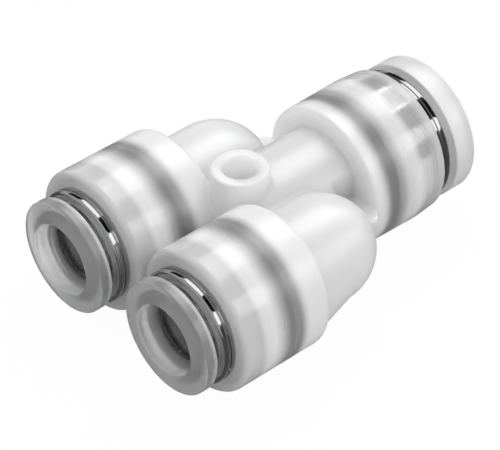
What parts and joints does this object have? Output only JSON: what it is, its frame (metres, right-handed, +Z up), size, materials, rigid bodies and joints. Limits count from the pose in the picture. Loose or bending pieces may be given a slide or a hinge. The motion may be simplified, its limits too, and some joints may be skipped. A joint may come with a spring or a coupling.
{
  "type": "tubing y connector",
  "caption": "Translucent push-in Y connector for plastic tube: one large port opposite paired smaller ports, with release sleeves and a mounting hole.",
  "frame": {"origin": "on the mounting hole's axis, in the plane of the three tube axes", "axes": "+X out of the large port along its axis, +Y to the left small port, +Z up along the mounting hole"},
  "size_m": [0.039, 0.0284, 0.015],
  "materials": {
    "housing_plastic": "translucent milky polypropylene, satin",
    "sleeve_plastic": "translucent moulded plastic, glossy",
    "collar_steel": "polished stainless steel",
    "grip_steel": "stamped stainless spring steel",
    "support_plastic": "natural moulded plastic",
    "seal_rubber": "matt black elastomer"
  },
  "bodies": {
    "fitting": {"housing": "housing_plastic", "main_retaining_collar": "collar_steel", "main_grip_ring": "grip_steel", "main_support_ring": "support_plastic", "main_seal": "seal_rubber", "left_retaining_collar": "collar_steel", "left_grip_ring": "grip_steel", "left_support_ring": "support_plastic", "left_seal": "seal_rubber", "right_retaining_collar": "collar_steel", "right_grip_ring": "grip_steel", "right_support_ring": "support_plastic", "right_seal": "seal_rubber"},
    "main_sleeve": {"main_release_sleeve": "sleeve_plastic"},
    "left_sleeve": {"left_release_sleeve": "sleeve_plastic"},
    "right_sleeve": {"right_release_sleeve": "sleeve_plastic"}
  },
  "joints": [
    {"name": "main_release", "type": "slide", "parent": "fitting", "child": "main_sleeve", "axis": [-1, 0, 0], "range_m": [0, 0.0005], "stiffness_N_per_m": 2500},
    {"name": "left_release", "type": "slide", "parent": "fitting", "child": "left_sleeve", "axis": [1, 0, 0], "range_m": [0, 0.0008], "stiffness_N_per_m": 2500},
    {"name": "right_release", "type": "slide", "parent": "fitting", "child": "right_sleeve", "axis": [1, 0, 0], "range_m": [0, 0.0008], "stiffness_N_per_m": 2500}
  ]
}
